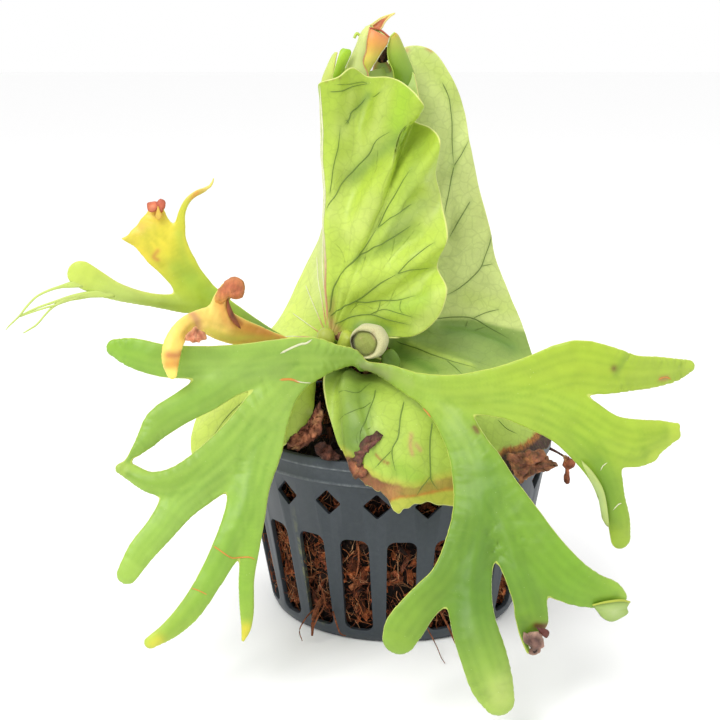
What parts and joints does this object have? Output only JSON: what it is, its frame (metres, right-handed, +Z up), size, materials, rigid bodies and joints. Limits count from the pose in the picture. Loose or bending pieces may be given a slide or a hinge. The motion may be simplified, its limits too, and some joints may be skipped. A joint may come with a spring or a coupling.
{
  "type": "staghorn fern in a basket",
  "caption": "Potted staghorn fern: antler-forked green fronds and ruffled shield fronds growing over the rim of a slotted dark plastic basket of bark.",
  "frame": {"origin": "centre of the basket's flat base, on the surface that it stands on", "axes": "+Z up, the front of the plant faces -Y, +X to the right seen from the front"},
  "size_m": [0.2282, 0.1816, 0.2196],
  "materials": {
    "basket_plastic": "dark slate-grey moulded plastic, satin",
    "bark": "rough chopped coconut husk and bark",
    "rhizome_scales": "rough papery brown scales",
    "dry_leaf": "dry papery brown leaf",
    "shield_leaf": "waxy pale yellow-green leaf with raised veins",
    "fertile_leaf": "smooth leathery bright green leaf",
    "ageing_leaf": "leathery leaf turning from green to yellow, orange and brown",
    "bud_felt": "cream felted hairs",
    "bud_green": "soft green young leaf"
  },
  "bodies": {
    "root": {"basket": "basket_plastic", "bark_fill": "bark", "rhizome": "rhizome_scales", "dry_shield_frond": "dry_leaf", "back_shield_frond": "shield_leaf", "rolled_shield_frond": "shield_leaf", "front_shield_frond": "shield_leaf", "front_fertile_frond": "fertile_leaf", "upper_fertile_frond": "ageing_leaf", "crozier": "bud_felt", "knob_bud": "bud_green", "new_shield_bud": "bud_green"}
  },
  "joints": []
}
